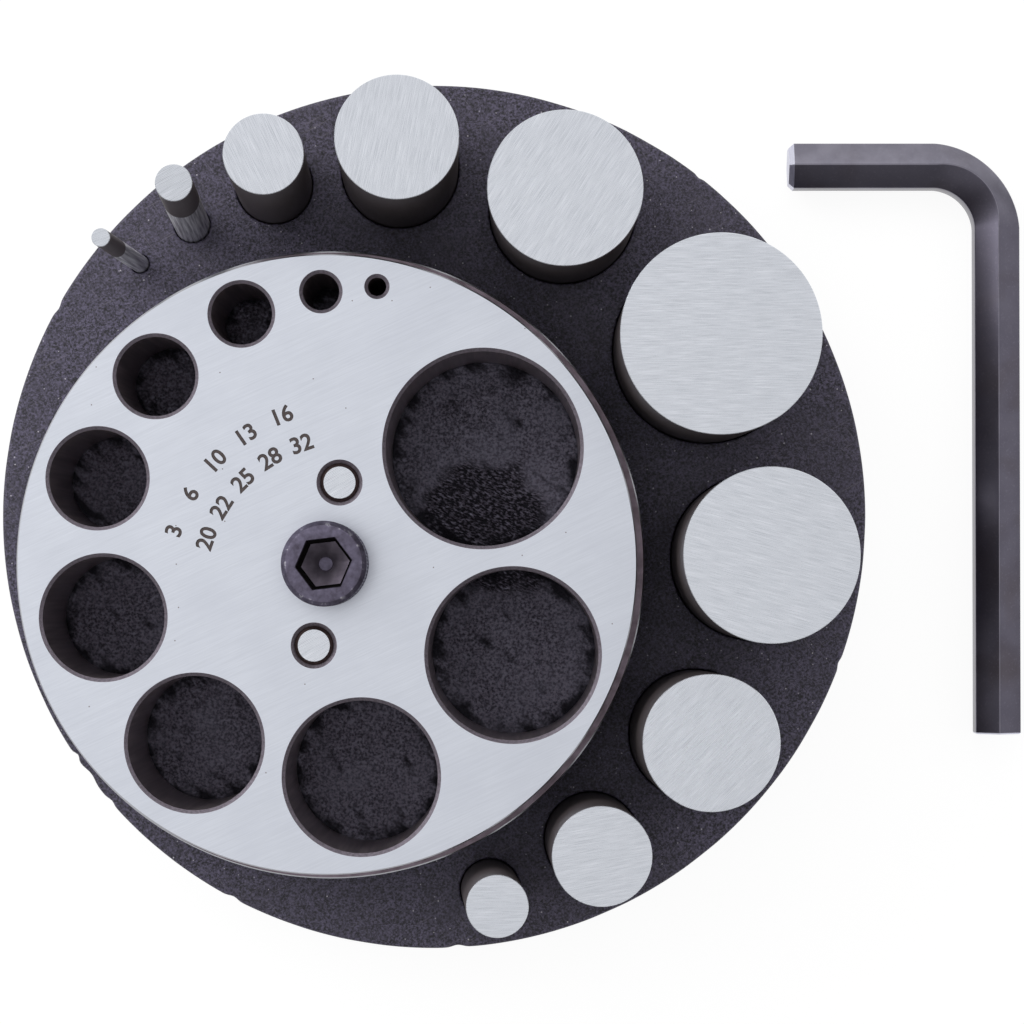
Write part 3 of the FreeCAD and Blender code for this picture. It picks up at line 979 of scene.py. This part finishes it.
def make_clamp_screw(tree, materials):
    """Fluted socket head screw, turned in one piece from its socket's floor to its tip."""
    plain, flute, thread, hexed = (0, 0, 0), (1, 0, 0), (0, 1, 0), (0, 0, 1)
    top = HEAD_TOP - DIE_TOP
    floor = top - HEX_SOCKET_DEPTH
    apothem = HEX_ACROSS_FLATS / 2 + HEX_FIT * math.cos(math.pi / 6)
    steps = int((SCREW_LENGTH - THREAD_START - TIP_CHAMFER) / SCREW_PITCH * 8)
    # Rings of (radius, height) after the form that they take, from the socket's floor to the tip
    groups = (
        (plain, (0, floor - 0.95), (HEX_SPOT_RADIUS, floor - 0.98),
         (HEX_SPOT_RADIUS + 0.1, floor - 1.15), (HEX_SPOT_RADIUS + 1.3, floor - 0.5)),
        (hexed, (apothem * HEX_FLOOR_SHARE, floor), (apothem * (HEX_FLOOR_SHARE + 0.03), floor - 0.4),
         (apothem, floor - 0.4), (apothem, top - 0.12), (apothem + 0.1, top)),
        (plain, (apothem + 0.85, top), (HEAD_RADIUS - HEAD_CHAMFER - 0.25, top),
         (HEAD_RADIUS - HEAD_CHAMFER, top - 0.05), (HEAD_RADIUS - 0.12, top - HEAD_CHAMFER + 0.05),
         (HEAD_RADIUS, top - HEAD_CHAMFER - 0.1)),
        (flute, (HEAD_RADIUS, top - HEAD_CHAMFER - 0.5), (HEAD_RADIUS, 1.2)),
        (plain, (HEAD_RADIUS, 0.9), (HEAD_RADIUS, 0.3), (HEAD_RADIUS - 0.3, 0), (SCREW_RADIUS + 0.1, 0),
         (SCREW_RADIUS - 0.1, -0.3), (SCREW_RADIUS - 0.1, -1.2)),
        (thread, *((SCREW_RADIUS, -THREAD_START - step * SCREW_PITCH / 8) for step in range(steps + 1))),
        (plain, (SCREW_RADIUS - TIP_CHAMFER, -SCREW_LENGTH), (0, -SCREW_LENGTH)))
    rings = [(ring, form) for form, *group in groups for ring in group]
    mesh = spun(tree, [ring for ring, form in rings], materials[0],
                {"Segments": 4 * HEAD_FLUTES, "Start angle": math.radians(SOCKET_ANGLE),
                 "Flutes": HEAD_FLUTES, "Flute depth": HEAD_FLUTE_DEPTH, "Pitch": SCREW_PITCH,
                 "Thread depth": SCREW_THREAD_DEPTH}, [form for ring, form in rings])
    for material in materials[1:]:
        mesh.materials.append(material)
    # The socket's walls take the near-black material, painted shade of the deep socket; the drilled cone
    # takes its own oxide
    for face in mesh.polygons:
        out = face.center.xy.length
        in_socket = HEX_SPOT_RADIUS < out < HEAD_RADIUS - HEAD_CHAMFER - 0.5
        if in_socket and floor - 2 < face.center.z < top - 0.1:
            drilled = out < apothem * HEX_FLOOR_SHARE and face.center.z < floor
            face.material_index = 2 if drilled else 1
    set_wear(mesh, lambda p: float(p.z > top - HEAD_CHAMFER - 0.12
                                   and abs(p.xy.length - HEAD_RADIUS + HEAD_CHAMFER) < 0.1))
    mesh.transform(Matrix.Translation(Vector((*DIE_CENTRE, DIE_TOP)) * MM) @ Matrix.Scale(MM, 4))
    return finished_object("clamp_screw_turned", mesh)


def make_hex_key(material, cut_material):
    """Bent bar: it lies with one corner of its section up."""
    low, high = box_mm("hex_key")
    corner_radius = high.z / 2
    half_flats = corner_radius * math.cos(math.pi / 6)
    long_x, short_y = high.x - half_flats, high.y - half_flats
    ends = (Vector((low.x + KEY_SHORT_END_CHAMFER, short_y, corner_radius)),
            Vector((long_x, short_y, corner_radius)),
            Vector((long_x, low.y + KEY_LONG_END_CHAMFER, corner_radius)))
    mesh = bake(make_bar_tree(), bpy.data.meshes.new("empty"), {
        "Start": ends[0], "Corner": ends[1], "End": ends[2], "Bend radius": KEY_BEND_RADIUS,
        "Corner radius": corner_radius, "Edge round": KEY_EDGE_ROUND,
        "Start chamfer": KEY_SHORT_END_CHAMFER, "End chamfer": KEY_LONG_END_CHAMFER,
        "Material": material})
    bend = Vector((long_x - KEY_BEND_RADIUS, short_y - KEY_BEND_RADIUS, corner_radius))

    def across_bar(point):
        """How far a point is out from the bar's centre line, away from the inside of the bend."""
        if point.x > bend.x and point.y > bend.y:
            return (point.xy - bend.xy).length - KEY_BEND_RADIUS
        return point.x - long_x if point.x > bend.x else point.y - short_y

    def key_wear(point):
        """Rubbed bare along the corners; a little lighter on the upper outer side of the short arm, a
        painted highlight.
        """
        across, rise = across_bar(point), point.z - corner_radius
        if math.hypot(across, rise) > corner_radius - KEY_WEAR_BAND:
            return 1.0
        along = min(1, max(0, (point.y - bend.y) / KEY_BEND_RADIUS))
        return KEY_SHORT_ARM_HIGHLIGHT * along * (across > 0.15 and rise > 0)

    set_wear(mesh, key_wear)
    mesh.materials.append(cut_material)
    for face in mesh.polygons:
        if face.center.x < ends[0].x - 0.01 or face.center.y < ends[2].y - 0.01:
            face.material_index = 1
    for vertex in mesh.vertices:
        point = vertex.co
        if point.x > bend.x and point.y > bend.y:
            out = (point.xy - bend.xy).normalized()
            share = 2 * out.x * out.y
            side = across_bar(point) / half_flats
            rise = max(0, point.z / corner_radius - 1)
            push = share * (KEY_RIDGE_PUSH * rise * (1 - side * side) - KEY_OUTSIDE_DRAW * max(0, side)
                            - KEY_INSIDE_DRAW * max(0, -side))
            vertex.co = (*(point.xy + out * push), point.z)
    mesh.transform(Matrix.Scale(MM, 4))
    return finished_object("hex_key_bar", mesh)


# ---------------------------------------------------------------- floor, light and camera

# Camera: where it stands and what the middle of its view meets, in millimetres, and its lens
CAMERA_PLACE = Vector((15.69, -11.92, 646.5))
CAMERA_AIM = Vector((13.46, 0.66, 22.5))
CAMERA_LENS = 127.3
# The bench in metres: its height, a hair under the rubber so that the two faces don't coincide,
# and half its width
BENCH = -0.00005
BENCH_REACH = 3


def make_camera():
    camera = new_object("camera", bpy.data.cameras.new("camera"))
    camera.data.lens = CAMERA_LENS
    camera.data.sensor_width = 36
    camera.data.clip_start = 0.01
    back = (CAMERA_PLACE - CAMERA_AIM).normalized()
    right = (Vector((1, 0, 0)) - back.x * back).normalized()
    frame_axes = Matrix((right, back.cross(right), back)).transposed()
    camera.matrix_world = Matrix.Translation(CAMERA_PLACE * MM) @ frame_axes.to_4x4()
    bpy.context.scene.camera = camera


def make_floor():
    """Pale bench that reads as white where it is seen, and keeps a faint shadow."""
    material, tree = new_material("white_bench")
    rays = add(tree, "LightPath").outputs
    either = add(tree, "Math", [rays["Is Camera Ray"], rays["Is Glossy Ray"]], operation="MAXIMUM")
    seen = add(tree, "Math", [either, rays["Is Transmission Ray"]], operation="MAXIMUM")
    plain = add(tree, "BsdfDiffuse", {"Color": srgb("#e6e6e6")})
    dim = add(tree, "BsdfDiffuse", {"Color": srgb("#616161")})
    lift = add(tree, "Emission", {"Color": srgb("#ffffff"), "Strength": 0.92})
    bright = add(tree, "AddShader", [dim, lift])
    shown = add(tree, "MixShader", [seen, plain, bright])
    add(tree, "OutputMaterial", {"Surface": shown})
    mesh = bpy.data.meshes.new("bench")
    corners = [(x * BENCH_REACH, y * BENCH_REACH, BENCH) for x, y in ((-1, -1), (1, -1), (1, 1), (-1, 1))]
    mesh.from_pydata(corners, [], [(0, 1, 2, 3)])
    mesh.materials.append(material)
    floor = new_object("bench", mesh)


def make_world():
    """Light tent: white where the camera sees it; as a light, bright overhead and towards one wall."""
    world = bpy.data.worlds.new("studio")
    world.use_nodes = True
    bpy.context.scene.world = world
    tree = world.node_tree
    tree.nodes.clear()
    heading = add(tree, "TexCoord").outputs["Generated"]
    to_roof = add(tree, "VectorMath", [heading, (-0.45, 0.1, 0.89)], operation="DOT_PRODUCT")
    overhead = add(tree, "MapRange", [to_roof, 0.4, 1.0, 0.3, 0.99])
    to_wall = add(tree, "VectorMath", [heading, (0.2, 0.89, 0.4)], operation="DOT_PRODUCT")
    wall = add(tree, "MapRange", [to_wall, 0.6, 1.0, 0.0, 0.75])
    level = add(tree, "Math", [overhead, wall], operation="ADD")
    light = add(tree, "Background", {"Color": srgb("#ffffff"), "Strength": level})
    white = add(tree, "Background", {"Color": srgb("#ffffff"), "Strength": 1.0})
    rays = add(tree, "LightPath").outputs
    seen = add(tree, "MixShader", [rays["Is Camera Ray"], light, white])
    add(tree, "OutputWorld", {"Surface": seen})


def make_lamp(name, place, aim, size, power):
    lamp = bpy.data.lights.new(name, "AREA")
    lamp.shape = "DISK"
    lamp.size = size
    lamp.energy = power
    holder = new_object(name, lamp)
    holder.location = place
    holder.rotation_euler = (Vector(aim) - Vector(place)).to_track_quat("-Z", "Y").to_euler()


# ---------------------------------------------------------------- assembly

def read_frame():
    """Where the frame has the holes, the punches and the pins, in millimetres.

    Holes are (x, y, radius) and punches (foot, axis), by cutting size; pins are centres, by name.
    """
    holes = {}
    for mount in frame["record"]["mounts"]:
        if mount["kind"] == "bore":
            size = int(mount["name"].split("_")[-1][:-2])
            x, y = mount["pos_m"][:2]
            holes[size] = (x / MM, y / MM, mount["dims"]["r_mm"])
    punches = {}
    for joint in frame["joints"]:
        if joint["child"].startswith("punch_"):
            axis = Vector(joint["axis"]).normalized()
            middle = sum(box_mm(joint["child"]), Vector()) / 2
            size = int(joint["child"].split("_")[1][:-2])
            punches[size] = (middle - axis * PUNCH_LENGTH / 2, axis)
    pins = {name: sum(box_mm(name), Vector()).xy / 2
            for name in ("rear_alignment_pin", "front_alignment_pin")}
    return holes, punches, pins


def make_die(holes, pins):
    """The two plates of the die, each with its bores."""
    steels = [ground_steel(), reamed_steel(), turned_steel(), countersunk_steel(), marked_steel(),
              ledge_steel()]
    span = (DIE_BOTTOM, DIE_JOINT)
    bores = [bore((x, y), r, span, low_chamfer=HOLE_CHAMFER) for x, y, r in holes.values()]
    bores += [bore(pin, PIN_RADIUS, span) for pin in pins.values()]
    bores.append(bore(DIE_CENTRE, SCREW_RADIUS + THREAD_CLEARANCE, span, HOLE_CHAMFER, HOLE_CHAMFER))
    plate = make_plate("die_plate_machined", DIE_PLATE_RADIUS, *span, (FOOT_CHAMFER, RIM_CHAMFER),
                       bores, steels, ledge_from=GUIDE_PLATE_RADIUS)
    settle(plate, "die_block", "die_plate")

    span = (DIE_JOINT, DIE_TOP)
    bores = [bore((x, y), r, span, high_chamfer=HOLE_CHAMFER) for x, y, r in holes.values()]
    bores += [bore(pin, PIN_RADIUS + PIN_CLEARANCE, span, high_chamfer=PIN_HOLE_CHAMFER)
              for pin in pins.values()]
    bores.append(bore(DIE_CENTRE, SCREW_HOLE_RADIUS, span))
    plate = make_plate("guide_plate_machined", GUIDE_PLATE_RADIUS, *span, (RIM_CHAMFER, RIM_CHAMFER),
                       bores, steels[:LEDGE], engraved_sizes(sorted(holes)))
    settle(plate, "guide_plate", "guide_plate")


def make_rods(lathe, pins, punches):
    """The two alignment pins and the ten punches."""
    end_steel = ground_punch_end("ground_punch_end_steel", "#c5c9d1", "#ebeef6")
    dull_steel = ground_punch_end("dull_ground_punch_end_steel", "#b9bdc4", "#dee1e9")
    pin_steels = [end_steel, browned_pin_edge()]
    for name, centre in pins.items():
        pin = make_rod(name + "_ground", lathe, Vector((*centre, DIE_BOTTOM)), UP, PIN_RADIUS,
                       DIE_TOP - DIE_BOTTOM, PIN_CHAMFER, PIN_GRIND_ANGLE, pin_steels, end_slope=0.9)
        settle(pin, "die_block", name)
    small_steels = [dull_steel, punch_wall("browned_end_punch_wall_steel", BROWNED_FROM)]
    punch_steels = [end_steel, punch_wall("browned_punch_wall_steel", 0)]
    for size, (foot, axis) in punches.items():
        node = "punch_%dmm" % size
        punch = make_rod(node + "_ground", lathe, foot, axis, size / 2, PUNCH_LENGTH, PUNCH_CHAMFER,
                         GRIND_ANGLES[size], small_steels if size < 10 else punch_steels)
        settle(punch, node, node)


def main():
    holes, punches, pins = read_frame()
    base = make_rubber_base(holes.values(), punches)
    settle(base, "base", "rubber_base")
    make_die(holes, pins)
    lathe = make_turning_tree()
    make_rods(lathe, pins, punches)
    screw = make_clamp_screw(lathe, [mottled_oxide(), sooty_oxide(), drilled_oxide()])
    settle(screw, "clamp_screw", "clamp_screw")
    settle(make_hex_key(black_oxide(), cut_key_end()), "hex_key", "hex_key")

    make_floor()
    make_world()
    make_lamp("key_softbox", (-0.9, 0.6, 0.83), (0, 0, 0), 1.1, 7.5)
    make_lamp("side_softbox", (0.9, 0.2, 0.5), (0.05, 0, 0), 0.9, 1.4)
    make_camera()
    bpy.context.scene.view_settings.view_transform = "Standard"


main()
